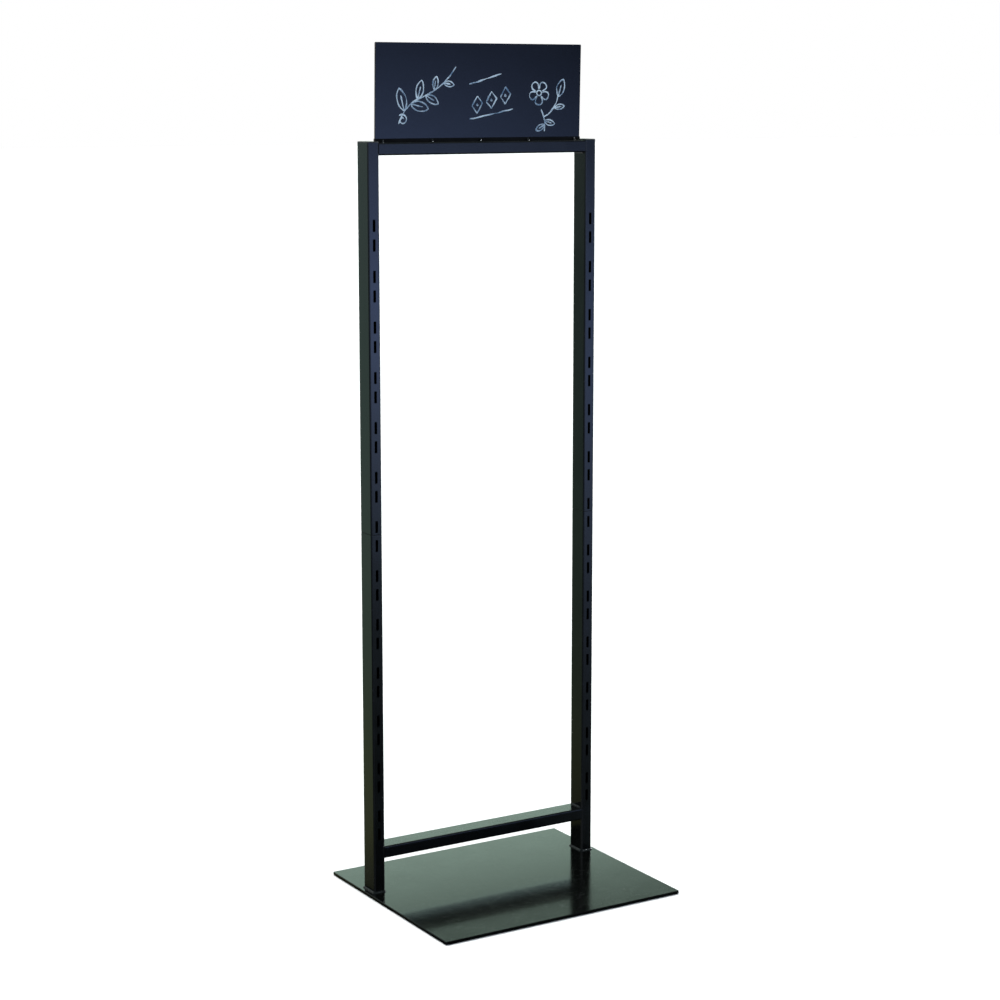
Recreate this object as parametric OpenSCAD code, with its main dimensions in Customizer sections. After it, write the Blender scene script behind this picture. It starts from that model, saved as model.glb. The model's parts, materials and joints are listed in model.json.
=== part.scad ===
// Free-standing sign stand: a steel base plate, two slotted tube posts in two lengths each,
// a low and a top crossbar, and a sign board that stands in a channel on the top crossbar.
// Millimetres. +X is to the right and +Y to the back, as seen from the front; +Z is up.
// The origin is on the floor, under the centre of the base plate.

/* [Base plate] */
// Width of the base plate, side to side
base_w = 554; // [545:1:640]
// Depth of the base plate, front to back
base_d = 474; // [440:1:560]
// Thickness of the base plate
base_t = 6; // [4:0.5:10]
// Radius of the base plate's corners, seen from above
base_corner_r = 2; // [1:0.5:8]
// Width of the eased edge around the top of the plate
base_edge_ease = 0.6; // [0.2:0.1:1.5]
// Distance from the plate's front edge to the front of the posts
post_setback = 310; // [240:1:350]

/* [Floor pads] */
// Diameter of each stick-on pad
pad_d = 26; // [16:1:40]
// Thickness of each pad
pad_t = 2; // [1:0.5:4]
// Distance from the plate's edges to a pad's centre
pad_inset = 34; // [25:1:60]

/* [Posts and crossbars] */
// Width of the frame over the outside of both posts
frame_w = 533; // [500:1:540]
// Height of the posts above the base plate, without their caps
frame_h = 1524; // [1400:1:1640]
// Width of a post's tube, side to side
tube_w = 25; // [22:0.5:32]
// Depth of a tube, front to back
tube_d = 45; // [40:0.5:60]
// Wall thickness of the tubes
tube_wall = 2; // [1.5:0.1:3]
// Outside corner radius of the tubes
tube_r = 3; // [2.5:0.1:4]
// Height of the crossbars
bar_h = 25; // [20:0.5:32]
// Height of the lower crossbar's underside above the base plate
lower_bar_z = 71; // [50:1:75]

/* [Joint in the posts] */
// Height of the joint above the base plate
seam_h = 747; // [746:0.5:748]
// Height of the fine groove at the joint
seam_groove_h = 1.2; // [0.6:0.1:1.6]
// Depth of the fine groove at the joint
seam_groove_d = 0.7; // [0.3:0.1:1]
// Length of a spigot below the joint and again above it
spigot_reach = 60; // [40:1:120]
// Wall thickness of a spigot
spigot_wall = 3; // [2:0.1:4]
// Clearance between a spigot and an upper post, on each side
spigot_gap = 0.3; // [0.3:0.05:0.6]

/* [Slots] */
// Width of a slot in a post's front wall
slot_w = 6; // [5:0.5:8]
// Height of a slot
slot_h = 24; // [20:0.5:26]
// Corner radius of a slot
slot_r = 1; // [0.2:0.1:2]
// Distance from one pair of slots to the next
slot_pitch = 100; // [100:1:100]
// Distance between the centres of the two slots of a pair
slot_pair = 38.5; // [36:0.5:42]
// Distance from a post's top down to the first slot's centre
slot_drop = 161; // [160:0.5:162]
// Number of pairs of slots in a post
slot_pairs = 13; // [10:1:13]

/* [Welds] */
// Leg of the fillet weld around a post's foot
foot_weld_leg = 3.5; // [3:0.5:6]
// Leg of the fillet welds at the crossbars' ends
bar_weld_leg = 3; // [2:0.5:5]
// Radius of the short upright tacks that hold the sign channel
tack_r = 2.4; // [1.5:0.1:3]
// Height of a tack
tack_h = 6; // [4:0.5:7]
// Number of tacks
tack_count = 5; // [3:1:7]
// Distance from one tack to the next
tack_pitch = 112; // [60:1:115]

/* [Post caps] */
// Thickness of a cap's visible flange
cap_t = 2.5; // [1.5:0.1:4]
// Slope at the top edge of a cap
cap_ease = 0.9; // [0.4:0.1:1.2]
// Depth of the part of a cap that sits inside the post
cap_plug = 14; // [8:1:20]

/* [Sign] */
// Width of the sign board
sign_w = 478; // [400:1:480]
// Full height of the sign board
sign_h = 192; // [150:1:300]
// Thickness of the sign board
sign_t = 4; // [2:0.5:5]
// Corner radius of the sign board
sign_corner_r = 2; // [1:0.5:10]
// Forward lean of the sign board in its channel, in degrees
sign_lean = 1.5; // [0:0.1:2]
// Height of the channel's sides
channel_h = 7; // [7:0.5:12]
// Gap between the channel's sides
channel_gap = 6; // [5.5:0.1:8]
// Sheet thickness of the channel
channel_wall = 1.5; // [1:0.1:2]

/* [Hidden] */
$fn = 48;
EPS = 0.01;
FAR = 1000;

base_z = pad_t;
top_z = base_z + base_t;
post_x = (frame_w - tube_w) / 2;
frame_front_y = -base_d / 2 + post_setback;
frame_y = frame_front_y + tube_d / 2;
post_top_z = top_z + frame_h;
seam_z = top_z + seam_h;
bar_len = frame_w - 2 * tube_w;
lower_bar_mid_z = top_z + lower_bar_z + bar_h / 2;
top_bar_mid_z = post_top_z - bar_h / 2;
inner_w = tube_w - 2 * tube_wall;
inner_d = tube_d - 2 * tube_wall;
inner_r = tube_r - tube_wall;
channel_w = channel_gap + 2 * channel_wall;

// Heights of all slot centres, from the top of the post down
slot_zs = [
    for (pair = [0 : slot_pairs - 1], second = [0, 1])
        post_top_z - slot_drop - pair * slot_pitch - second * slot_pair
];

STEEL = [0.17, 0.19, 0.20];
STEEL_FACE = [0.20, 0.23, 0.27];
BOARD = [0.15, 0.17, 0.23];
RUBBER = [0.05, 0.05, 0.05];
PLASTIC = [0.10, 0.10, 0.10];

// ---- Shared shapes -------------------------------------------------------------------------

// Rectangle centred on the origin with round corners
module rounded_rect(w, d, r) {
    square([w - 2 * r, d], center = true);
    square([w, d - 2 * r], center = true);
    for (x = [-1, 1], y = [-1, 1])
        translate([x * (w / 2 - r), y * (d / 2 - r)]) circle(r = r);
}

// Cross-section of the rectangular tube, for a given outside size
module tube_section(w, d) {
    difference() {
        rounded_rect(w, d, tube_r);
        rounded_rect(w - 2 * tube_wall, d - 2 * tube_wall, inner_r);
    }
}

// Slots of a post whose centres lie between two heights, cut through its front wall
module slots(from_z, to_z) {
    for (z = slot_zs)
        if (z > from_z && z < to_z)
            translate([0, -tube_d / 2 + tube_wall + EPS, z])
                rotate([90, 0, 0]) linear_extrude(tube_wall + 2 * EPS) rounded_rect(slot_w, slot_h, slot_r);
}

// One length of post, at its own place on either side: side is -1 for left and 1 for right
module post_length(side, from_z, to_z) {
    translate([side * post_x, frame_y, 0])
        difference() {
            translate([0, 0, from_z]) linear_extrude(to_z - from_z) tube_section(tube_w, tube_d);
            slots(from_z, to_z);
        }
}

// A crossbar between the posts, centred on a height
module crossbar(mid_z) {
    translate([-bar_len / 2, frame_y, mid_z])
        rotate([90, 0, 90]) linear_extrude(bar_len) tube_section(tube_d, bar_h);
}

// Triangular fillet along Y in the corner between a post and a crossbar.
// It starts at the origin and grows along +X and +Z.
module corner_bead(leg, len) {
    translate([0, len / 2, 0])
        rotate([90, 0, 0]) linear_extrude(len) polygon([[0, 0], [leg, 0], [0, leg]]);
}

// ---- Lower frame ---------------------------------------------------------------------------

// Side view of the plate with eased top edges, for a given width
module plate_profile(w) {
    polygon([
        [-w / 2, 0], [w / 2, 0], [w / 2, base_t - base_edge_ease],
        [w / 2 - base_edge_ease, base_t], [-w / 2 + base_edge_ease, base_t],
        [-w / 2, base_t - base_edge_ease]
    ]);
}

module base_plate() {
    color(STEEL)
        translate([0, 0, base_z])
            intersection() {
                linear_extrude(base_t) rounded_rect(base_w, base_d, base_corner_r);
                translate([0, FAR / 2, 0]) rotate([90, 0, 0]) linear_extrude(FAR) plate_profile(base_w);
                translate([-FAR / 2, 0, 0]) rotate([90, 0, 90]) linear_extrude(FAR) plate_profile(base_d);
            }
}

// One pad: side is -1 for left, end is -1 for front
module floor_pad(side, end) {
    color(RUBBER)
        translate([side * (base_w / 2 - pad_inset), end * (base_d / 2 - pad_inset), 0])
            cylinder(d = pad_d, h = pad_t);
}

module lower_post(side) {
    color(STEEL_FACE) post_length(side, top_z, seam_z);
}

module lower_crossbar() {
    color(STEEL_FACE) crossbar(lower_bar_mid_z);
}

// Channel-shaped spigot, open to the front: tight in the lower post, free in the upper one
module joint_spigot(side) {
    color(STEEL)
        translate([side * post_x, frame_y, seam_z]) {
            translate([0, 0, -spigot_reach]) linear_extrude(spigot_reach) spigot_section(0);
            linear_extrude(spigot_reach) spigot_section(spigot_gap);
        }
}

// Cross-section of the spigot, smaller by a gap on each side
module spigot_section(gap) {
    w = inner_w - 2 * gap;
    d = inner_d - 2 * gap;
    difference() {
        rounded_rect(w, d, inner_r);
        translate([-w / 2 + spigot_wall, -d / 2 - EPS]) square([w - 2 * spigot_wall, d - spigot_wall + EPS]);
    }
}

// Fillet weld all round a post's foot
module foot_weld(side) {
    leg = foot_weld_leg;
    color(STEEL)
        translate([side * post_x, frame_y, top_z])
            difference() {
                union() {
                    for (x = [-1, 1], y = [-1, 1])
                        translate([x * (tube_w / 2 - tube_r), y * (tube_d / 2 - tube_r), 0])
                            cylinder(r1 = tube_r + leg, r2 = tube_r, h = leg);
                    foot_weld_prism(tube_d - 2 * tube_r, tube_w, leg);
                    rotate(90) foot_weld_prism(tube_w - 2 * tube_r, tube_d, leg);
                }
                translate([0, 0, -1]) linear_extrude(leg + 2) rounded_rect(tube_w, tube_d, tube_r);
            }
}

// Long low prism with sloping sides, that runs along Y and is across wide at its top
module foot_weld_prism(len, across, leg) {
    half = across / 2;
    translate([0, len / 2, 0])
        rotate([90, 0, 0])
            linear_extrude(len) polygon([[-half - leg, 0], [half + leg, 0], [half, leg], [-half, leg]]);
}

// Fillets above and below one end of the lower crossbar
module lower_bar_weld(side) {
    color(STEEL)
        for (up = [0, 1])
            translate([side * bar_len / 2, frame_y, lower_bar_mid_z])
                mirror([side > 0 ? 1 : 0, 0, 0]) mirror([0, 0, up])
                    translate([0, 0, bar_h / 2]) corner_bead(bar_weld_leg, tube_d - 4 * tube_r);
}

// ---- Upper frame ---------------------------------------------------------------------------

// The upper length of a post has a fine groove around its lower end
module upper_post(side) {
    color(STEEL_FACE)
        difference() {
            post_length(side, seam_z, post_top_z);
            translate([side * post_x, frame_y, seam_z - 1])
                linear_extrude(seam_groove_h + 1)
                    difference() {
                        square([2 * tube_w, 2 * tube_d], center = true);
                        rounded_rect(tube_w - 2 * seam_groove_d, tube_d - 2 * seam_groove_d,
                                     tube_r - seam_groove_d);
                    }
        }
}

module top_crossbar() {
    color(STEEL_FACE) crossbar(top_bar_mid_z);
}

// Fillet under one end of the top crossbar
module top_bar_weld(side) {
    color(STEEL)
        translate([side * bar_len / 2, frame_y, top_bar_mid_z])
            mirror([side > 0 ? 1 : 0, 0, 0]) mirror([0, 0, 1])
                translate([0, 0, bar_h / 2]) corner_bead(bar_weld_leg, tube_d - 4 * tube_r);
}

// Plastic plug with a flange that covers the post's top
module post_cap(side) {
    color(PLASTIC)
        translate([side * post_x, frame_y, post_top_z]) {
            hull() {
                linear_extrude(cap_t - cap_ease) rounded_rect(tube_w, tube_d, tube_r);
                linear_extrude(cap_t)
                    rounded_rect(tube_w - 2 * cap_ease, tube_d - 2 * cap_ease, tube_r - cap_ease);
            }
            translate([0, 0, -cap_plug])
                linear_extrude(cap_plug)
                    difference() {
                        rounded_rect(inner_w, inner_d, inner_r);
                        square([inner_w - 2 * tube_wall, inner_d - 2 * tube_wall], center = true);
                    }
        }
}

module sign_channel() {
    color(STEEL)
        translate([-sign_w / 2, frame_y, post_top_z])
            difference() {
                translate([0, -channel_w / 2, 0]) cube([sign_w, channel_w, channel_h]);
                translate([-EPS, -channel_gap / 2, channel_wall])
                    cube([sign_w + 2 * EPS, channel_gap, channel_h]);
            }
}

// Row of upright half-round tacks in the corner between the channel and the crossbar
module channel_tack_welds() {
    color(STEEL_FACE)
        for (i = [0 : tack_count - 1])
            translate([(i - (tack_count - 1) / 2) * tack_pitch, frame_y - channel_w / 2, post_top_z])
                intersection() {
                    union() {
                        cylinder(r = tack_r, h = tack_h - tack_r);
                        translate([0, 0, tack_h - tack_r]) sphere(r = tack_r);
                    }
                    translate([-tack_r, -2 * tack_r, 0]) cube([2 * tack_r, 2 * tack_r, tack_h]);
                }
}

// ---- Sign ----------------------------------------------------------------------------------

// The board stands on its lower front edge, inside the channel
module sign_panel() {
    color(BOARD)
        translate([0, frame_y - sign_t / 2, post_top_z + channel_wall])
            rotate([sign_lean, 0, 0])
                translate([0, sign_t, sign_h / 2])
                    rotate([90, 0, 0]) linear_extrude(sign_t) rounded_rect(sign_w, sign_h, sign_corner_r);
}

// ---- Output --------------------------------------------------------------------------------

base_plate();
floor_pad(-1, -1);  // floor_pad_front_left
floor_pad(1, -1);  // floor_pad_front_right
floor_pad(-1, 1);  // floor_pad_back_left
floor_pad(1, 1);  // floor_pad_back_right
lower_post(-1);  // left_lower_post
lower_post(1);  // right_lower_post
lower_crossbar();
joint_spigot(-1);  // left_joint_spigot
joint_spigot(1);  // right_joint_spigot
foot_weld(-1);  // left_foot_weld
foot_weld(1);  // right_foot_weld
lower_bar_weld(-1);  // left_lower_bar_weld
lower_bar_weld(1);  // right_lower_bar_weld
upper_post(-1);  // left_upper_post
upper_post(1);  // right_upper_post
top_crossbar();
top_bar_weld(-1);  // left_top_bar_weld
top_bar_weld(1);  // right_top_bar_weld
post_cap(-1);  // left_post_cap
post_cap(1);  // right_post_cap
sign_channel();
channel_tack_welds();
sign_panel();
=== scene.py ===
import json
import math
import random

import bpy
from mathutils import Matrix, Vector, noise


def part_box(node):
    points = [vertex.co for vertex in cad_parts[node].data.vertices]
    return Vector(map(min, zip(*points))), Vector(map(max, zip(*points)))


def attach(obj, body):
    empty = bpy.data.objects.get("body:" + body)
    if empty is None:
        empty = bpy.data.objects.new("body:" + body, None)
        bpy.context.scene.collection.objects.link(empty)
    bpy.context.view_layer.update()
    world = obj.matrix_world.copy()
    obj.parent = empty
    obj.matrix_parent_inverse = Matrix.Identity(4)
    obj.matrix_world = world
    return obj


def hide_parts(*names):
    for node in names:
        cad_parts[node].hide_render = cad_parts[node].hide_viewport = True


# Looks for the free-standing sign stand. Metres; +X right, +Y back, +Z up, origin on the floor.
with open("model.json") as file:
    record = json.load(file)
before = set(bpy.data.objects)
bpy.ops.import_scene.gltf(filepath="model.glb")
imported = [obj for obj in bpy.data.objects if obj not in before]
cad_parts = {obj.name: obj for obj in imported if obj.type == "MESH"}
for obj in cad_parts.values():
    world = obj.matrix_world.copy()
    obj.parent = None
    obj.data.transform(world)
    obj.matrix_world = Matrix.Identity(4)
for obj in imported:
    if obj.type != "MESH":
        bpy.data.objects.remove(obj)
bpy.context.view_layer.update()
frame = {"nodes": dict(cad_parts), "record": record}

MM = 0.001
UP = Vector((0, 0, 1))
RIGHT = Vector((1, 0, 0))
BACK = Vector((0, 1, 0))
SIDES = {"left": -1, "right": 1}

# Sizes of the frame's details that a box can't tell
TUBE_CORNER = 3 * MM
FOOT_WELD_LEG = 3.5 * MM
BAR_WELD_LEG = 3 * MM
TACK_RADIUS = 2.4 * MM
TACK_HEIGHT = 6 * MM
TACK_COUNT = 5
TACK_PITCH = 112 * MM
TACK_RIPPLE_PITCH = 1.9 * MM
TACK_FLARE_HEIGHT = 1.4 * MM
CAP_PLUG_INSET = 2 * MM
CAP_PLUG_WALL = 2 * MM
SIGN_THICKNESS = 4 * MM
SIGN_LEAN = math.radians(1.5)


# ---- Node helpers --------------------------------------------------------------------------

def add(tree, kind, inputs=None, **settings):
    """Adds a shader node. An input is a socket to link, or a value."""
    node = tree.nodes.new("ShaderNode" + kind)
    for key, value in settings.items():
        setattr(node, key, value)
    for key, value in (inputs or {}).items():
        if isinstance(value, bpy.types.NodeSocket):
            tree.links.new(value, node.inputs[key])
        else:
            node.inputs[key].default_value = value
    return node


def rgb(red, green, blue):
    return (red, green, blue, 1.0)


def noise_of(tree, vector, scale, detail=3.0, roughness=0.55, distortion=0.0):
    inputs = {"Vector": vector, "Scale": scale, "Detail": detail, "Roughness": roughness}
    inputs["Distortion"] = distortion
    return add(tree, "TexNoise", inputs).outputs["Fac"]


def remap(tree, value, low, high, to_low=0.0, to_high=1.0, smooth=True):
    inputs = {"Value": value, "From Min": low, "From Max": high, "To Min": to_low, "To Max": to_high}
    kind = "SMOOTHSTEP" if smooth else "LINEAR"
    return add(tree, "MapRange", inputs, interpolation_type=kind).outputs["Result"]


def calc(tree, operation, first, second=0.0):
    return add(tree, "Math", {0: first, 1: second}, operation=operation).outputs[0]


def times(tree, first, second):
    return calc(tree, "MULTIPLY", first, second)


def one_minus(tree, value):
    return calc(tree, "SUBTRACT", 1.0, value)


def axes(tree, vector):
    """The X, Y and Z sockets of a vector."""
    parts = add(tree, "SeparateXYZ", {"Vector": vector}).outputs
    return parts["X"], parts["Y"], parts["Z"]


def band(tree, value, low, high, soft):
    """1 between low and high, with soft edges."""
    rise = remap(tree, value, low - soft, low + soft)
    return times(tree, rise, remap(tree, value, high - soft, high + soft, 1.0, 0.0))


def mix_colour(tree, factor, first, second):
    """Node Mix in colour mode keeps its colour inputs at 6 and 7 and its colour output at 2."""
    return add(tree, "Mix", {0: factor, 6: first, 7: second}, data_type="RGBA").outputs[2]


def stretched(tree, vector, scale, turn=0.0):
    inputs = {"Vector": vector, "Scale": scale, "Rotation": (0.0, turn, 0.0)}
    return add(tree, "Mapping", inputs).outputs["Vector"]


def bump(tree, height, distance, strength=1.0, normal=None):
    inputs = {"Height": height, "Distance": distance, "Strength": strength}
    if normal is not None:
        inputs["Normal"] = normal
    return add(tree, "Bump", inputs).outputs["Normal"]


def new_material(name):
    """A Principled material, as (material, tree, shader, object coordinates, object normal)."""
    material = bpy.data.materials.new(name)
    material.use_nodes = True
    tree = material.node_tree
    tree.nodes.clear()
    shader = add(tree, "BsdfPrincipled")
    add(tree, "OutputMaterial", {"Surface": shader.outputs["BSDF"]})
    coordinates = add(tree, "TexCoord")
    return material, tree, shader, coordinates.outputs["Object"], coordinates.outputs["Normal"]


def link(tree, shader, **sockets):
    names = {"colour": "Base Color", "roughness": "Roughness", "normal": "Normal", "metallic": "Metallic"}
    for key, socket in sockets.items():
        tree.links.new(socket, shader.inputs[names[key]])


def edge_mask(tree, normal):
    """1 on rounded edges, 0 on faces square to the axes."""
    x, y, z = axes(tree, add(tree, "VectorMath", {0: normal}, operation="ABSOLUTE").outputs["Vector"])
    largest = calc(tree, "MAXIMUM", calc(tree, "MAXIMUM", x, y), z)
    return remap(tree, one_minus(tree, largest), 0.02, 0.2)


def top_mask(tree, normal):
    """1 on faces that look straight up."""
    _, _, up = axes(tree, normal)
    return remap(tree, up, 0.8, 1.0)


# ---- Materials -----------------------------------------------------------------------------

JOINT_DIRT_HALF_HEIGHT = 0.6 * MM


def powder_coat(name, dark, light, rough, peel, dust, specular=0.5, wear=0.35, joint=None):
    """Black powder coat: orange peel, uneven gloss, handling smudges, dust on top, thin wear on edges.
    rough is its lowest and highest roughness, and joint the height of a joint whose fine groove is dull
    with dirt."""
    material, tree, shader, place, normal = new_material(name)
    clouds = noise_of(tree, place, 14.0, 4.0)
    grain = noise_of(tree, place, 900.0, 2.0)
    smudges = remap(tree, noise_of(tree, place, 26.0, 5.0, 0.62, 0.6), 0.56, 0.72)
    colour = mix_colour(tree, remap(tree, clouds, 0.3, 0.7), dark, light)

    specks = remap(tree, noise_of(tree, place, 1300.0, 1.0), 0.60, 0.72)
    film = remap(tree, noise_of(tree, place, 40.0, 5.0, 0.7), 0.35, 0.75, 0.3, 1.0)
    dust_share = times(tree, times(tree, specks, film), top_mask(tree, normal))
    colour = mix_colour(tree, times(tree, dust_share, dust), colour, rgb(0.40, 0.41, 0.42))

    chips = remap(tree, noise_of(tree, place, 210.0, 4.0, 0.7), 0.58, 0.70)
    worn = times(tree, edge_mask(tree, normal), chips)
    colour = mix_colour(tree, times(tree, worn, wear), colour, rgb(0.060, 0.064, 0.070))

    roughness = remap(tree, clouds, 0.25, 0.75, *rough)
    roughness = calc(tree, "ADD", roughness, times(tree, smudges, 0.025))
    roughness = calc(tree, "ADD", roughness, times(tree, dust_share, 0.25))

    peel_height = noise_of(tree, place, 330.0, 2.0, 0.5)
    bumped = bump(tree, peel_height, peel)
    bumped = bump(tree, grain, peel * 0.12, normal=bumped)
    shader.inputs["Specular IOR Level"].default_value = specular
    if joint is not None:
        _, _, height = axes(tree, place)
        low, high = joint - JOINT_DIRT_HALF_HEIGHT, joint + JOINT_DIRT_HALF_HEIGHT
        dirt = band(tree, height, low, high, JOINT_DIRT_HALF_HEIGHT / 3)
        roughness = calc(tree, "ADD", roughness, times(tree, dirt, 0.20))
        gloss = calc(tree, "SUBTRACT", specular, times(tree, dirt, 0.24))
        tree.links.new(gloss, shader.inputs["Specular IOR Level"])
    link(tree, shader, colour=colour, roughness=roughness, normal=bumped)
    return material


def matt_coat(name):
    """Matt black coat with a fine dry texture and a little chalk dust on its ledges."""
    material, tree, shader, place, normal = new_material(name)
    texture = noise_of(tree, place, 1100.0, 3.0, 0.6)
    clouds = noise_of(tree, place, 30.0, 4.0)
    uneven = remap(tree, clouds, 0.3, 0.7)
    colour = mix_colour(tree, uneven, rgb(0.0024, 0.0025, 0.0026), rgb(0.0048, 0.0050, 0.0052))
    drifts = noise_of(tree, stretched(tree, place, (22.0, 90.0, 90.0)), 1.0, 5.0, 0.7)
    fallen = times(tree, remap(tree, drifts, 0.50, 0.75), top_mask(tree, normal))
    colour = mix_colour(tree, times(tree, fallen, 0.10), colour, rgb(0.20, 0.21, 0.22))
    link(
        tree, shader,
        colour=colour,
        roughness=remap(tree, texture, 0.3, 0.7, 0.55, 0.72),
        normal=bump(tree, texture, 0.04 * MM),
    )
    shader.inputs["Specular IOR Level"].default_value = 0.08
    return material


def rubbed_steel(name):
    """Painted steel that a sliding tube has rubbed bright in upright streaks."""
    material, tree, shader, place, _ = new_material(name)
    streaks = noise_of(tree, stretched(tree, place, (420.0, 420.0, 9.0)), 1.0, 4.0, 0.6)
    patches = noise_of(tree, place, 60.0, 3.0)
    bare = remap(tree, calc(tree, "ADD", streaks, times(tree, patches, 0.35)), 0.70, 0.82)
    colour = mix_colour(tree, bare, rgb(0.016, 0.017, 0.018), rgb(0.33, 0.33, 0.32))
    link(
        tree, shader,
        colour=colour,
        metallic=bare,
        roughness=remap(tree, streaks, 0.3, 0.7, 0.24, 0.42),
        normal=bump(tree, streaks, 0.06 * MM),
    )
    return material


def chalkboard(name):
    """Chalkboard paint on hardboard: a wiped chalk haze, a lighter tone towards the foot that is partly
    settled chalk dust and partly a painted sheen, and a brown core at the worn edges."""
    material, tree, shader, place, normal = new_material(name)
    hand_slant = 0.22
    smeared = noise_of(tree, stretched(tree, place, (4.0, 4.0, 7.0), hand_slant), 1.0, 4.0, 0.55, 0.5)
    haze = remap(tree, smeared, 0.35, 0.75)
    wiped = noise_of(tree, stretched(tree, place, (5.0, 5.0, 60.0), hand_slant), 1.0, 3.0, 0.5, 0.3)
    strokes = remap(tree, wiped, 0.45, 0.80)
    powder = noise_of(tree, place, 1500.0, 2.0, 0.7)
    _, _, height = axes(tree, place)
    low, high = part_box("sign_panel")
    # Lighter towards the foot: partly chalk dust that settles, partly a painted sheen that stands in for the
    # brighter reflection on the board's lower part.
    settled_dust_and_painted_sheen = remap(tree, height, low.z, high.z, 1.0, 0.0)
    amount = calc(tree, "ADD", times(tree, haze, 0.35), times(tree, strokes, 0.15))
    amount = calc(tree, "ADD", amount, times(tree, settled_dust_and_painted_sheen, 0.5))
    amount = times(tree, amount, remap(tree, powder, 0.3, 0.7, 0.75, 1.0))
    colour = mix_colour(tree, amount, rgb(0.0011, 0.0015, 0.0024), rgb(0.0048, 0.0063, 0.0100))

    _, facing, _ = axes(tree, normal)
    edge = remap(tree, calc(tree, "ABSOLUTE", facing), 0.55, 0.95, 1.0, 0.0)
    fibres = noise_of(tree, stretched(tree, place, (160.0, 900.0, 160.0)), 1.0, 4.0, 0.7)
    bare = times(tree, edge, remap(tree, fibres, 0.50, 0.62))
    colour = mix_colour(tree, times(tree, bare, 0.55), colour, rgb(0.16, 0.085, 0.042))

    rough = calc(tree, "ADD", remap(tree, haze, 0.0, 1.0, 0.115, 0.140), times(tree, edge, 0.3))
    bumped = bump(tree, noise_of(tree, place, 620.0, 3.0, 0.6), 0.03 * MM)
    bumped = bump(tree, powder, 0.015 * MM, normal=bumped)
    link(tree, shader, colour=colour, roughness=rough, normal=bumped)
    shader.inputs["Specular IOR Level"].default_value = 0.28
    return material


def chalk(name):
    """Soft chalk that catches on the board's grain, thin where the hand was light."""
    material, tree, shader, place, _ = new_material(name)
    tooth = noise_of(tree, place, 850.0, 3.0, 0.65)
    pressure = noise_of(tree, place, 42.0, 3.0, 0.6)
    cover = remap(tree, calc(tree, "ADD", tooth, times(tree, pressure, 1.3)), 0.92, 1.28)
    colour = mix_colour(tree, cover, rgb(0.12, 0.22, 0.34), rgb(0.78, 0.93, 0.99))
    link(tree, shader, colour=colour, normal=bump(tree, tooth, 0.2 * MM))
    shader.inputs["Roughness"].default_value = 0.92
    shader.inputs["Specular IOR Level"].default_value = 0.2
    return material


def moulded_plastic(name):
    """Black moulded plastic with a fine spark-eroded grain."""
    material, tree, shader, place, normal = new_material(name)
    cells = add(tree, "TexVoronoi", {"Vector": place, "Scale": 1400.0}, feature="SMOOTH_F1")
    grain = cells.outputs["Distance"]
    clouds = noise_of(tree, place, 45.0, 3.0)
    scuffs = remap(tree, noise_of(tree, place, 170.0, 4.0, 0.7), 0.57, 0.7)
    rubbed = times(tree, scuffs, edge_mask(tree, normal))
    colour = mix_colour(tree, remap(tree, clouds, 0.3, 0.7), rgb(0.012, 0.012, 0.013), rgb(0.02, 0.02, 0.021))
    colour = mix_colour(tree, times(tree, rubbed, 0.5), colour, rgb(0.10, 0.095, 0.085))
    link(
        tree, shader,
        colour=colour,
        roughness=remap(tree, clouds, 0.3, 0.7, 0.30, 0.42),
        normal=bump(tree, grain, 0.04 * MM, 0.7),
    )
    return material


def rubber(name):
    """Black rubber with a fine grain and dusty patches."""
    material, tree, shader, place, _ = new_material(name)
    grain = noise_of(tree, place, 700.0, 4.0, 0.7)
    dusty = remap(tree, noise_of(tree, place, 120.0, 4.0, 0.6), 0.45, 0.75)
    link(
        tree, shader,
        colour=mix_colour(tree, dusty, rgb(0.014, 0.014, 0.014), rgb(0.045, 0.043, 0.04)),
        roughness=remap(tree, grain, 0.3, 0.7, 0.62, 0.85),
        normal=bump(tree, grain, 0.1 * MM),
    )
    return material


FRAME_DARK = rgb(0.0020, 0.0025, 0.0024)
FRAME_LIGHT = rgb(0.0034, 0.0041, 0.0040)

MATERIALS = {
    "base_powder_coat": powder_coat(
        "base_powder_coat", rgb(0.0007, 0.0009, 0.0008), rgb(0.0013, 0.0016, 0.0014),
        rough=(0.115, 0.135), peel=0.01 * MM, dust=0.003),
    "frame_powder_coat": powder_coat(
        "frame_powder_coat", FRAME_DARK, FRAME_LIGHT,
        rough=(0.135, 0.165), peel=0.03 * MM, dust=0.02, joint=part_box("left_lower_post")[1].z),
    "weld_powder_coat": powder_coat(
        "weld_powder_coat", FRAME_DARK, FRAME_LIGHT,
        rough=(0.13, 0.19), peel=0.02 * MM, dust=0.0, specular=0.35, wear=0.0),
    "channel_powder_coat": matt_coat("channel_powder_coat"),
    "spigot_steel": rubbed_steel("spigot_steel"),
    "chalkboard": chalkboard("chalkboard"),
    "cap_plastic": moulded_plastic("cap_plastic"),
    "rubber": rubber("rubber"),
}


def paint(piece, material):
    piece.data.materials.clear()
    piece.data.materials.append(material)


def finish_cad_nodes():
    """Gives every CAD node the material of its slot in the record."""
    for part in frame["record"]["subparts"]:
        paint(frame["nodes"][part["node"]], MATERIALS[part["material_slot"]])


# ---- Mesh helpers --------------------------------------------------------------------------

def mesh_piece(name, vertices, faces, material, smooth_angle=40.0):
    mesh = bpy.data.meshes.new(name)
    mesh.from_pydata([tuple(v) for v in vertices], [], faces)
    mesh.validate()
    mesh.polygons.foreach_set("use_smooth", [True] * len(mesh.polygons))
    mesh.set_sharp_from_angle(angle=math.radians(smooth_angle))
    piece = bpy.data.objects.new(name, mesh)
    bpy.context.scene.collection.objects.link(piece)
    paint(piece, material)
    return piece


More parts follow.
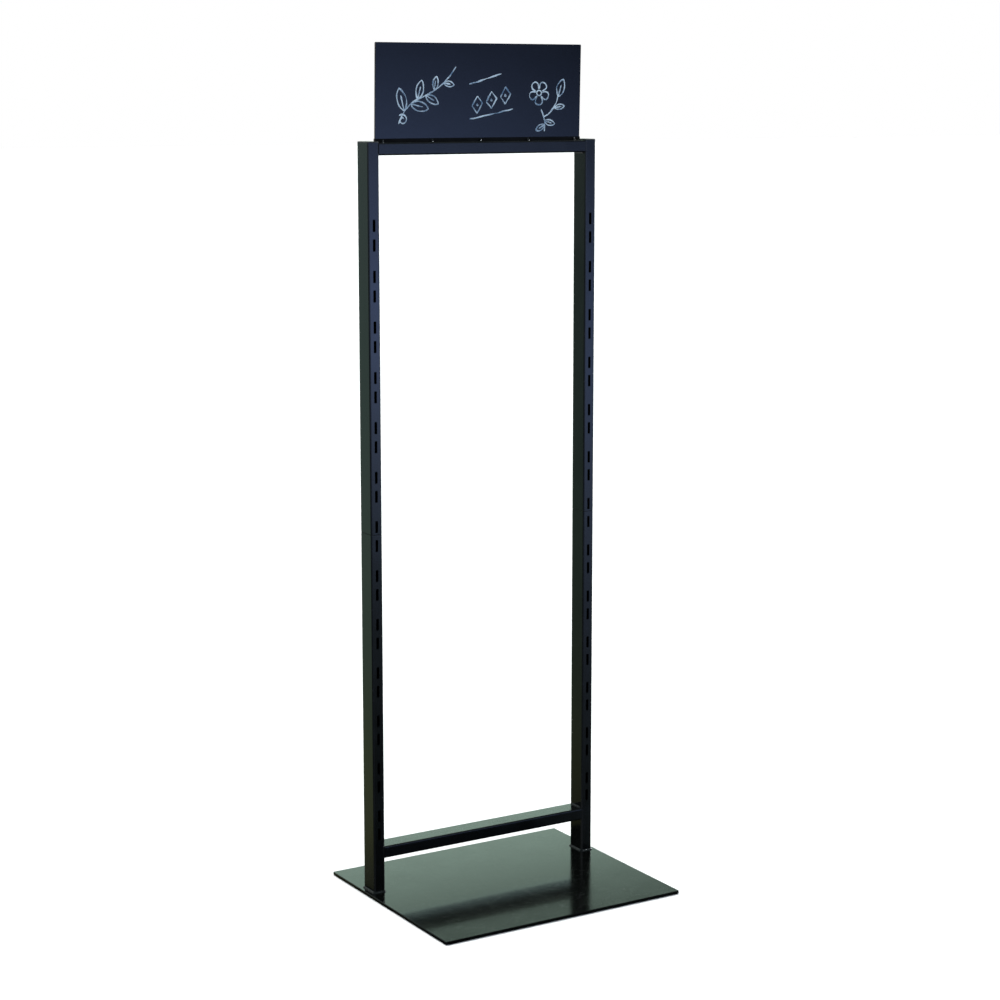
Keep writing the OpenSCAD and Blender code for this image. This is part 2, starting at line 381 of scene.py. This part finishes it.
def loft(rings, closed=False):
    """Vertices and faces of a solid skin over rings of equal length. An open loft has its two ends filled."""
    count = len(rings[0])
    vertices = [v for ring in rings for v in ring]
    faces = []
    for i in range(len(rings) if closed else len(rings) - 1):
        here, there = i * count, (i + 1) % len(rings) * count
        for j in range(count):
            k = (j + 1) % count
            faces.append((here + j, here + k, there + k, there + j))
    if not closed:
        faces.append(tuple(range(count - 1, -1, -1)))
        faces.append(tuple(range(len(vertices) - count, len(vertices))))
    return vertices, faces


def joined(parts):
    """One list of vertices and one of faces from several."""
    vertices, faces = [], []
    for more_vertices, more_faces in parts:
        offset = len(vertices)
        vertices += more_vertices
        faces += [tuple(i + offset for i in face) for face in more_faces]
    return vertices, faces


def outward(vertices, faces):
    """Turns the faces of a closed solid round if they point inwards."""
    volume = 0.0
    for face in faces:
        corners = [Vector(vertices[i]) for i in face]
        for second, third in zip(corners[1:], corners[2:]):
            volume += corners[0].dot(second.cross(third))
    return (vertices, faces) if volume > 0 else (vertices, [face[::-1] for face in faces])


def rounded_rectangle(width, depth, radius, corner_steps=6, straight_step=None):
    """Points and outward normals round a rectangle with round corners, centred on the origin."""
    points, normals = [], []
    corners = [(1, 1), (-1, 1), (-1, -1), (1, -1)]
    for index, (sx, sy) in enumerate(corners):
        centre = Vector((sx * (width / 2 - radius), sy * (depth / 2 - radius), 0))
        for step in range(corner_steps + 1):
            angle = math.pi / 2 * (index + step / corner_steps)
            normal = Vector((math.cos(angle), math.sin(angle), 0))
            points.append(centre + radius * normal)
            normals.append(normal)
        if straight_step:
            next_sx, next_sy = corners[(index + 1) % 4]
            next_centre = Vector((next_sx * (width / 2 - radius), next_sy * (depth / 2 - radius), 0))
            end = next_centre + radius * normal
            steps = max(1, round((end - points[-1]).length / straight_step))
            start = points[-1]
            for step in range(1, steps):
                points.append(start.lerp(end, step / steps))
                normals.append(normal)
    return points, normals


# ---- Weld beads ----------------------------------------------------------------------------

BEAD_STEP = 0.45 * MM
RIPPLE_PITCH = 2.2 * MM
RIPPLE_HEIGHT = 0.26 * MM
WANDER_LENGTH = 6 * MM
WANDER_SHARE = 0.07
BEAD_SECTION = 9


def bead_ring(corner, along_a, along_b, leg, travel, seed):
    """Section of a fillet weld in the corner between two faces, with its place in the ripple pattern."""
    ring = [corner]
    for j in range(BEAD_SECTION):
        share = j / (BEAD_SECTION - 1)
        crown = math.sin(math.pi * share)
        wander = noise.noise(Vector((travel / WANDER_LENGTH, share, seed))) * WANDER_SHARE
        width = leg * (1 + wander)
        lean = (travel - crown * 0.5 * RIPPLE_PITCH) / RIPPLE_PITCH
        ripple = abs(math.sin(math.pi * lean)) ** 0.7
        point = corner + along_a * width * (1 - share) + along_b * width * share
        swell = leg * 0.10 * crown + RIPPLE_HEIGHT * (ripple - 0.6) * min(1.0, 2.2 * crown)
        ring.append(point + (along_a + along_b).normalized() * swell)
    return ring


def straight_bead(start, end, along_a, along_b, leg, seed):
    """A bead with round ends between two points."""
    length = (end - start).length
    steps = max(8, round(length / BEAD_STEP))
    rings = []
    for i in range(steps + 1):
        travel = length * i / steps
        to_end = min(travel, length - travel)
        swell = math.sqrt(max(0.02, 1 - max(0.0, 1 - to_end / leg) ** 2))
        rings.append(bead_ring(start.lerp(end, i / steps), along_a, along_b, leg * swell, travel, seed))
    return outward(*loft(rings))


def foot_bead(side, post):
    """A closed bead round a post's foot, on the plate."""
    low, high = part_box(post)
    centre = Vector(((low.x + high.x) / 2, (low.y + high.y) / 2, low.z))
    width, depth = high.x - low.x, high.y - low.y
    points, normals = rounded_rectangle(width, depth, TUBE_CORNER, corner_steps=10, straight_step=BEAD_STEP)
    rings, travel = [], 0.0
    for i, (point, normal) in enumerate(zip(points, normals)):
        rings.append(bead_ring(centre + point, normal, UP, FOOT_WELD_LEG, travel, 3.0 + side))
        travel += (points[(i + 1) % len(points)] - point).length
    return outward(*loft(rings, closed=True))


def bar_beads(side, bar, directions):
    """Beads across one end of a crossbar: directions holds 1 for its top and -1 for its underside."""
    low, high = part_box(bar)
    x = high.x if side > 0 else low.x
    inset = 2 * TUBE_CORNER
    beads = []
    for up in directions:
        z = high.z if up > 0 else low.z
        start = Vector((x, low.y + inset, z))
        end = Vector((x, high.y - inset, z))
        beads.append(straight_bead(start, end, -side * RIGHT, up * UP, BAR_WELD_LEG, 7.0 * side + up))
    return joined(beads)


def tack_bead(foot, seed):
    """A short upright run of weld on the channel's front, wider where it meets the crossbar."""
    steps, points = 16, 11
    rings = []
    for i in range(steps + 1):
        height = TACK_HEIGHT * i / steps
        over = max(0.0, height - (TACK_HEIGHT - TACK_RADIUS)) / TACK_RADIUS
        radius = TACK_RADIUS * math.sqrt(max(0.03, 1 - over * over))
        radius *= 1 + 0.35 * max(0.0, 1 - height / TACK_FLARE_HEIGHT) ** 2
        radius *= 1 + 0.07 * math.sin(2 * math.pi * height / TACK_RIPPLE_PITCH) * (1 - over)
        ring = []
        for j in range(points):
            angle = math.pi * j / (points - 1)
            wander = 1 + 0.10 * noise.noise(Vector((2 * math.cos(angle), height / (2 * MM), seed)))
            outwards = math.cos(angle) * RIGHT - math.sin(angle) * BACK
            ring.append(foot + radius * wander * outwards + height * UP)
        rings.append(ring)
    return outward(*loft(rings))


def tack_beads():
    """The row of tacks in the corner between the channel and the top crossbar."""
    low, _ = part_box("sign_channel")
    places = [(i - (TACK_COUNT - 1) / 2) * TACK_PITCH for i in range(TACK_COUNT)]
    return joined([tack_bead(Vector((x, low.y, low.z)), 20.0 + i) for i, x in enumerate(places)])


def place_bead(name, shape, body, node):
    bead = mesh_piece(name, *shape, MATERIALS["weld_powder_coat"], smooth_angle=75.0)
    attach(bead, body)
    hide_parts(node)


def make_welds():
    for name, side in SIDES.items():
        foot = foot_bead(side, name + "_lower_post")
        place_bead(name + "_foot_bead", foot, "lower_frame", name + "_foot_weld")
        lower_bar = bar_beads(side, "lower_crossbar", (1, -1))
        place_bead(name + "_lower_bar_beads", lower_bar, "lower_frame", name + "_lower_bar_weld")
        top_bar = bar_beads(side, "top_crossbar", (-1,))
        place_bead(name + "_top_bar_bead", top_bar, "upper_frame", name + "_top_bar_weld")
    place_bead("channel_tack_beads", tack_beads(), "upper_frame", "channel_tack_welds")


# ---- Post caps -----------------------------------------------------------------------------

def cap_shape(post, cap):
    """A cap with a rounded flange, a slight crown and a hollow plug, as rings from the crown down to the
    plug's inside."""
    low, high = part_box(post)
    cap_low, cap_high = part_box(cap)
    width, depth, seat = high.x - low.x, high.y - low.y, high.z
    flange = cap_high.z - seat
    plug = seat - cap_low.z
    round_steps = 5
    edge = 1.0 * MM
    draft = 0.35 * MM
    crown = 0.25 * MM
    chamfer = 0.12 * MM
    plug_lead_in = 1.2 * MM
    plug_taper = 0.5 * MM
    plug_depth_left = 0.6 * MM
    crown_middle, crown_side, crown_foot = 9 * MM, 5 * MM, draft + edge + 1.2 * MM
    profile = [(crown_middle, flange), (crown_side, flange - 0.06 * MM), (crown_foot, flange - crown)]
    for step in range(round_steps + 1):
        angle = math.pi / 2 * step / round_steps
        profile.append((draft + edge * (1 - math.sin(angle)), flange - crown - edge * (1 - math.cos(angle))))
    profile += [
        (0.0, chamfer), (chamfer, 0.0),
        (CAP_PLUG_INSET, 0.0), (CAP_PLUG_INSET, plug_lead_in - plug), (CAP_PLUG_INSET + plug_taper, -plug),
        (CAP_PLUG_INSET + CAP_PLUG_WALL, -plug), (CAP_PLUG_INSET + CAP_PLUG_WALL, -plug_depth_left),
    ]
    centre = Vector(((low.x + high.x) / 2, (low.y + high.y) / 2, seat))
    rings = []
    for inset, height in profile:
        radius = max(0.6 * MM, TUBE_CORNER - inset)
        points, _ = rounded_rectangle(width - 2 * inset, depth - 2 * inset, radius)
        rings.append([centre + point + UP * height for point in points])
    return outward(*loft(rings))


def make_caps():
    for name in SIDES:
        node = name + "_post_cap"
        shape = cap_shape(name + "_upper_post", node)
        cap = mesh_piece(name + "_moulded_cap", *shape, MATERIALS["cap_plastic"], smooth_angle=50.0)
        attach(cap, "upper_frame")
        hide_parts(node)


# ---- Chalk drawing -------------------------------------------------------------------------
# Drawn in millimetres on the board's front: u runs right from its left edge, v runs down from its top.

CHALK_WIDTH = 2.9
CHALK_STEP = 1.0
HAND_WANDER = 1.1
HAND_WANDER_LENGTH = 16
PRESSURE_LENGTH = 18
TAPER_LENGTH = 3.0
HAND_SEED = 1

# Heights off the board, in metres. Each stroke lies a layer higher than the last, so that no two coincide.
CHALK_THICKNESS = 0.14 * MM
BOARD_GAP = 0.02 * MM
LAYER = 0.002 * MM


def bezier(p0, p1, p2, p3, count=24):
    p0, p1, p2, p3 = (Vector(p) for p in (p0, p1, p2, p3))
    points = []
    for i in range(count + 1):
        t = i / count
        s = 1 - t
        points.append(s**3 * p0 + 3 * s * s * t * p1 + 3 * s * t * t * p2 + t**3 * p3)
    return points


def spiral(centre, start_radius, end_radius, start_turn, turns, count=36):
    """Points that wind about a centre. Turns are positive clockwise on the board."""
    points = []
    for i in range(count + 1):
        t = i / count
        angle = 2 * math.pi * (start_turn + turns * t)
        radius = start_radius + (end_radius - start_radius) * t
        points.append(Vector(centre) + radius * Vector((math.cos(angle), math.sin(angle))))
    return points


def leaf(base, tip, width):
    """The outline of a pointed leaf and its midrib, as two strokes."""
    base, tip = Vector(base), Vector(tip)
    along = tip - base
    across = Vector((-along.y, along.x)).normalized() * width
    near, far = base.lerp(tip, 0.3), base.lerp(tip, 0.72)
    outline = bezier(base, near + across, far + across, tip, 16)
    outline += bezier(tip, far - across, near - across, base, 16)[1:]
    return [outline, [base.lerp(tip, 0.05), base.lerp(tip, 0.68)]]


def leafy_spray(stem, shares, first_length, last_length, spread):
    """Strokes of a stem with leaves on alternate sides at shares of its length."""
    strokes = [stem]
    for index, share in enumerate(shares):
        at = share * (len(stem) - 1)
        i = min(int(at), len(stem) - 2)
        base = stem[i].lerp(stem[i + 1], at - i)
        heading = (stem[i + 1] - stem[i]).normalized()
        turn = Matrix.Rotation(math.radians(spread) * (1 if index % 2 else -1), 2)
        length = first_length + (last_length - first_length) * index / (len(shares) - 1)
        strokes += leaf(base, base + turn @ heading * length, length * 0.3)
    return strokes


def diamond(centre, half_width, half_height, shear):
    u, v = centre
    return [
        Vector((u - half_width, v - shear * -half_width)), Vector((u, v - half_height)),
        Vector((u + half_width, v - shear * half_width)), Vector((u, v + half_height)),
        Vector((u - half_width, v - shear * -half_width)),
    ]


def flower(centre, petals, inner, outer):
    """Strokes of a round-petalled flower."""
    def at(radius, angle):
        return Vector(centre) + radius * Vector((math.cos(angle), math.sin(angle)))

    strokes = [spiral(centre, inner * 0.7, inner * 0.7, 0.0, 1.08, 20)]
    half = 0.8 * math.pi / petals
    bulge = 1.25 * half
    for i in range(petals):
        middle = 2 * math.pi * (i + 0.25) / petals
        strokes.append(bezier(
            at(inner, middle - half), at(outer, middle - bulge),
            at(outer, middle + bulge), at(inner, middle + half), 14))
    return strokes


def drawing_strokes():
    """A leafy spray on the left, two rules with a row of diamonds in the middle, a flower on the right."""
    slant = 0.27
    spray_stem = bezier((52, 158), (82, 84), (124, 128), (182, 46), 40)
    strokes = leafy_spray(spray_stem, (0.14, 0.27, 0.41, 0.55, 0.69, 0.83), 46, 24, 52)
    strokes.append(spiral((61, 150), 11, 3, 0.62, 1.3))

    strokes.append(bezier((212, 81), (240, 74), (262, 66), (288, 60)))
    strokes.append(bezier((214, 150), (248, 143), (284, 137), (316, 130)))
    for i in range(3):
        u = 232 + 33 * i
        middle = (u, 112 - slant * (u - 265))
        strokes.append(diamond(middle, 12, 17, slant))
        strokes.append(spiral(middle, 2.4, 1.0, 0, 1.0, 10))

    strokes += flower((378, 98), 5, 8, 37)
    stem = bezier((384, 130), (390, 146), (396, 160), (392, 175), 16)
    strokes += leafy_spray(stem, (0.55, 0.70), 26, 24, 66)
    side_stem = bezier((390, 146), (402, 142), (420, 128), (424, 104), 16)
    strokes += [side_stem] + leaf((424, 106), (436, 70), 12) + leaf((416, 128), (440, 124), 7)
    return strokes


def hand_drawn(points, seed):
    """Even steps along a stroke, with the slight wander of a hand."""
    lengths = [0.0]
    for here, there in zip(points, points[1:]):
        lengths.append(lengths[-1] + (there - here).length)
    count = max(3, round(lengths[-1] / CHALK_STEP))
    even, i = [], 0
    for step in range(count + 1):
        target = lengths[-1] * step / count
        while i < len(points) - 2 and lengths[i + 1] < target:
            i += 1
        share = (target - lengths[i]) / max(lengths[i + 1] - lengths[i], 1e-6)
        point = points[i].lerp(points[i + 1], share)
        place = point / HAND_WANDER_LENGTH
        wander = noise.noise_vector(Vector((place.x, place.y, seed)))
        even.append(point + HAND_WANDER * Vector((wander.x, wander.y)))
    return even


def chalk_ribbon(points, seed, layer, to_world, normal):
    """A low solid ribbon along a stroke, with ragged edges and a width that follows the hand's pressure."""
    draw = random.Random(seed)
    rings = []
    last = len(points) - 1
    for i, point in enumerate(points):
        heading = (points[min(i + 1, last)] - points[max(i - 1, 0)]).normalized()
        across = Vector((-heading.y, heading.x))
        pressure = 0.85 + 0.75 * noise.noise(Vector((i * CHALK_STEP / PRESSURE_LENGTH, seed, 0)))
        ends = min(1.0, 0.35 + min(i, last - i) * CHALK_STEP / TAPER_LENGTH)
        ring = []
        for share, lift in ((-1, 0), (-0.55, 1), (0.55, 1), (1, 0)):
            half = CHALK_WIDTH / 2 * pressure * ends * (1 + draw.uniform(-0.16, 0.16))
            spot = to_world(point + across * half * share)
            ring.append(spot + normal * (BOARD_GAP + layer * LAYER + lift * CHALK_THICKNESS))
        rings.append(ring)
    return outward(*loft(rings))


def make_chalk_drawing():
    """The drawing, as one mesh. noise_vector would take its offsets from the clock without a seed."""
    noise.seed_set(HAND_SEED)
    low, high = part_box("sign_panel")
    rise = Vector((0, -math.sin(SIGN_LEAN), math.cos(SIGN_LEAN)))
    normal = Vector((0, -math.cos(SIGN_LEAN), -math.sin(SIGN_LEAN)))
    foot = Vector((low.x, high.y - SIGN_THICKNESS * math.cos(SIGN_LEAN), low.z))
    height = (high.z - low.z - SIGN_THICKNESS * math.sin(SIGN_LEAN)) / math.cos(SIGN_LEAN)

    def to_world(point):
        return foot + RIGHT * point.x * MM + rise * (height - point.y * MM)

    ribbons = []
    for index, points in enumerate(drawing_strokes()):
        ribbons.append(chalk_ribbon(hand_drawn(points, index), index, index, to_world, normal))
    drawing = mesh_piece("chalk_drawing", *joined(ribbons), chalk("chalk"), smooth_angle=60.0)
    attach(drawing, "sign_board")


# ---- Stage, light and camera ---------------------------------------------------------------

FLOOR_HALF = 60.0
CAMERA_PLACE = (-2.385, -3.879, 1.629)
CAMERA_YAW = 31.48
CAMERA_PITCH = 9.15
CAMERA_LENS = 82.2
CAMERA_SHIFT = -0.04


def make_floor():
    corners = [(x * FLOOR_HALF, y * FLOOR_HALF, 0) for x, y in ((-1, -1), (1, -1), (1, 1), (-1, 1))]
    material, tree, shader, place, _ = new_material("pale_floor")
    mottle = noise_of(tree, place, 3.0, 3.0)
    link(tree, shader, colour=mix_colour(tree, mottle, rgb(0.86, 0.86, 0.855), rgb(0.88, 0.88, 0.88)))
    shader.inputs["Roughness"].default_value = 1.0
    shader.inputs["Specular IOR Level"].default_value = 0.0
    floor = mesh_piece("pale_floor", corners, [(0, 1, 2, 3)], material)
    floor.visible_glossy = False
    floor.visible_diffuse = False


# The studio is a smooth surround, worked out from the direction that light comes from: x to the object's
# right, y behind it, z up. Masks are 1 where they act.

ELEVATION_SPAN = 60.0
BLACK = rgb(0, 0, 0)
WHITE = rgb(1, 1, 1)
BOUNCE = rgb(0.95, 1.40, 1.50)


def elevation_ramp(tree, up, stops):
    """Colour by elevation, from stops of (degrees, red, green, blue)."""
    limit = math.sin(math.radians(ELEVATION_SPAN))
    ramp = add(tree, "ValToRGB", {"Fac": remap(tree, up, -limit, limit, smooth=False)})
    elements = ramp.color_ramp.elements
    while len(elements) > 1:
        elements.remove(elements[-1])
    for index, (degrees, *colour) in enumerate(stops):
        position = 0.5 + math.sin(math.radians(degrees)) / (2 * limit)
        element = elements[0] if index == 0 else elements.new(position)
        element.position = position
        element.color = rgb(*colour)
    return ramp.outputs["Color"]


def back_wall(tree, x, y, z):
    """A bright wall behind the object, up to the height that the plate mirrors. Below the horizon it is dim,
    and dimmer towards the left."""
    reach = calc(tree, "SQRT", calc(tree, "ADD", times(tree, z, z), times(tree, y, y)))
    wall = elevation_ramp(tree, calc(tree, "DIVIDE", z, reach), [
        (-45, 0.02, 0.02, 0.02),
        (-21.6, 0.01, 0.01, 0.01),
        (-21.0, 0.31, 0.32, 0.14),
        (-19.6, 0.27, 0.32, 0.15),
        (-17.6, 0.235, 0.33, 0.19),
        (-15.8, 0.27, 0.38, 0.30),
        (-13.1, 0.31, 0.47, 0.36),
        (-10.4, 0.305, 0.475, 0.41),
        (-2, 0.33, 0.47, 0.44),
        (1.5, 0.33, 0.45, 0.42),
        (5, 1.80, 1.80, 1.60),
        (9, 1.40, 1.60, 1.38),
        (13, 1.18, 1.64, 1.38),
        (20.8, 1.18, 1.64, 1.38),
        (21.7, 1.46, 2.04, 1.72),
        (22.3, 1.24, 1.73, 1.45),
        (22.75, 0.20, 0.28, 0.23),
        (23.6, 0.13, 0.18, 0.15),
        (32, 0.15, 0.20, 0.17),
        (60, 0.28, 0.30, 0.29),
    ])
    below = remap(tree, z, -0.02, 0.02, 1.0, 0.0)
    to_left = times(tree, below, remap(tree, x, -0.56, -0.46, 0.64, 0.0))
    return mix_colour(tree, to_left, wall, BLACK)


def front_softbox(tree, x, z):
    """A cool softbox level with the camera, in the dark. Towards the right it reaches lower, and fades."""
    stretch = remap(tree, x, 0.40, 0.60, 1.144, 0.664, smooth=False)
    box = elevation_ramp(tree, times(tree, z, stretch), [
        (-40, 0.003, 0.003, 0.003),
        (-19, 0.010, 0.012, 0.010),
        (-17, 0.035, 0.050, 0.042),
        (-15, 0.065, 0.078, 0.066),
        (-13, 0.14, 0.165, 0.165),
        (-11, 0.27, 0.35, 0.43),
        (-7.5, 1.00, 1.30, 2.10),
        (-5, 1.30, 1.85, 3.60),
        (-3, 0.95, 1.35, 2.60),
        (-1.2, 0.34, 0.45, 0.78),
        (1.5, 0.13, 0.16, 0.21),
        (8, 0.16, 0.18, 0.21),
        (30, 0.22, 0.28, 0.30),
        (60, 0.22, 0.28, 0.30),
    ])
    to_right = remap(tree, x, 0.48, 0.60, 0.0, 0.64)
    return mix_colour(tree, to_right, box, BLACK)


def studio_light(tree, x, y, z, behind):
    """What the faces that the camera sees reflect: the wall and the softbox, a black flag above the horizon
    at the front right and at the back left, and a bright bounce board low at the back right."""
    light = mix_colour(tree, behind, front_softbox(tree, x, z), back_wall(tree, x, y, z))
    facing_apart = remap(tree, times(tree, x, y), -0.10, -0.02, 1.0, 0.0)
    flags = times(tree, facing_apart, band(tree, z, 0.15, 0.42, 0.04))
    light = mix_colour(tree, flags, light, BLACK)
    bounce = times(tree, remap(tree, x, 0.36, 0.44), band(tree, z, -0.50, -0.10, 0.05))
    bounce = times(tree, bounce, remap(tree, y, 0.1, 0.4))
    return mix_colour(tree, bounce, light, BOUNCE)


def surround_light(tree, x, z, behind, front_left):
    """A plain soft surround for every other view, bright on all sides. It is held back low down on the left,
    so that the posts' edges stay dark, but for a window at the front left."""
    back = elevation_ramp(tree, z, [
        (-60, 0.30, 0.31, 0.31),
        (-25, 0.70, 0.76, 0.73),
        (-14, 0.75, 0.82, 0.79),
        (-3, 0.60, 0.68, 0.68),
        (3, 0.70, 0.77, 0.74),
        (12, 1.00, 1.10, 1.05),
        (22, 0.95, 1.04, 1.00),
        (30, 0.42, 0.54, 0.54),
        (60, 0.28, 0.36, 0.37),
    ])
    front = elevation_ramp(tree, z, [
        (-60, 0.30, 0.31, 0.32),
        (-27, 0.40, 0.43, 0.48),
        (-21, 0.06, 0.07, 0.08),
        (-13, 0.18, 0.23, 0.32),
        (-6, 0.55, 0.75, 1.25),
        (0, 0.55, 0.70, 1.05),
        (6, 0.75, 0.85, 1.05),
        (18, 0.85, 0.92, 1.05),
        (27, 0.80, 0.87, 1.00),
        (37, 0.30, 0.38, 0.43),
        (60, 0.25, 0.32, 0.36),
    ])
    held_back = times(tree, band(tree, z, -0.38, -0.01, 0.03), remap(tree, x, -0.45, 0.05, 0.90, 0.0))
    window = times(tree, front_left, band(tree, x, -0.80, -0.55, 0.03))
    held_back = times(tree, held_back, one_minus(tree, window))
    return mix_colour(tree, held_back, mix_colour(tree, behind, front, back), BLACK)


def make_world():
    """White to the camera. The object sees the studio in the directions that the camera's view reflects, to
    either side of the middle, and the plain surround everywhere else."""
    world = bpy.data.worlds.new("studio")
    bpy.context.scene.world = world
    world.use_nodes = True
    tree = world.node_tree
    tree.nodes.clear()
    x, y, z = axes(tree, add(tree, "TexCoord").outputs["Generated"])
    behind = remap(tree, y, -0.25, 0.25)
    front_left = times(tree, remap(tree, x, -0.06, 0.0, 1.0, 0.0), remap(tree, y, -0.06, 0.0, 1.0, 0.0))
    sideways = band(tree, calc(tree, "ABSOLUTE", x), 0.37, 0.61, 0.02)
    reflected = times(tree, sideways, one_minus(tree, front_left))
    surround = surround_light(tree, x, z, behind, front_left)
    light = mix_colour(tree, reflected, surround, studio_light(tree, x, y, z, behind))
    is_camera = add(tree, "LightPath").outputs["Is Camera Ray"]
    seen = mix_colour(tree, is_camera, light, WHITE)
    background = add(tree, "Background", {"Color": seen, "Strength": 1.0})
    add(tree, "OutputWorld", {"Surface": background.outputs["Background"]})


def make_sun(name, energy, spread, colour, towards):
    """A distant light that shines from a direction, spread over an angle in degrees."""
    data = bpy.data.lights.new(name, "SUN")
    data.energy = energy
    data.angle = math.radians(spread)
    data.color = colour
    light = bpy.data.objects.new(name, data)
    light.rotation_euler = Vector(towards).to_track_quat("Z", "Y").to_euler()
    bpy.context.scene.collection.objects.link(light)
    return light


def make_lights():
    """A broad overhead light, as wide as a studio ceiling, and a lamp at the right that only glints on welds
    and edges."""
    overhead = make_sun("overhead", 3.6, 75, (1.0, 0.985, 0.96), (-0.139, 0.206, 0.969))
    overhead.visible_glossy = False
    glint = make_sun("glint", 6.5, 14, (0.88, 0.94, 1.0), (0.860, 0.020, 0.510))
    glint.visible_diffuse = False


def make_camera():
    data = bpy.data.cameras.new("camera")
    data.sensor_width = 36
    data.lens = CAMERA_LENS
    data.shift_y = CAMERA_SHIFT
    camera = bpy.data.objects.new("camera", data)
    camera.location = CAMERA_PLACE
    camera.rotation_euler = (math.radians(90 - CAMERA_PITCH), 0, math.radians(-CAMERA_YAW))
    bpy.context.scene.collection.objects.link(camera)
    bpy.context.scene.camera = camera
    bpy.context.scene.view_settings.view_transform = "Standard"


make_camera()
finish_cad_nodes()
make_welds()
make_caps()
make_chalk_drawing()
make_floor()
make_world()
make_lights()
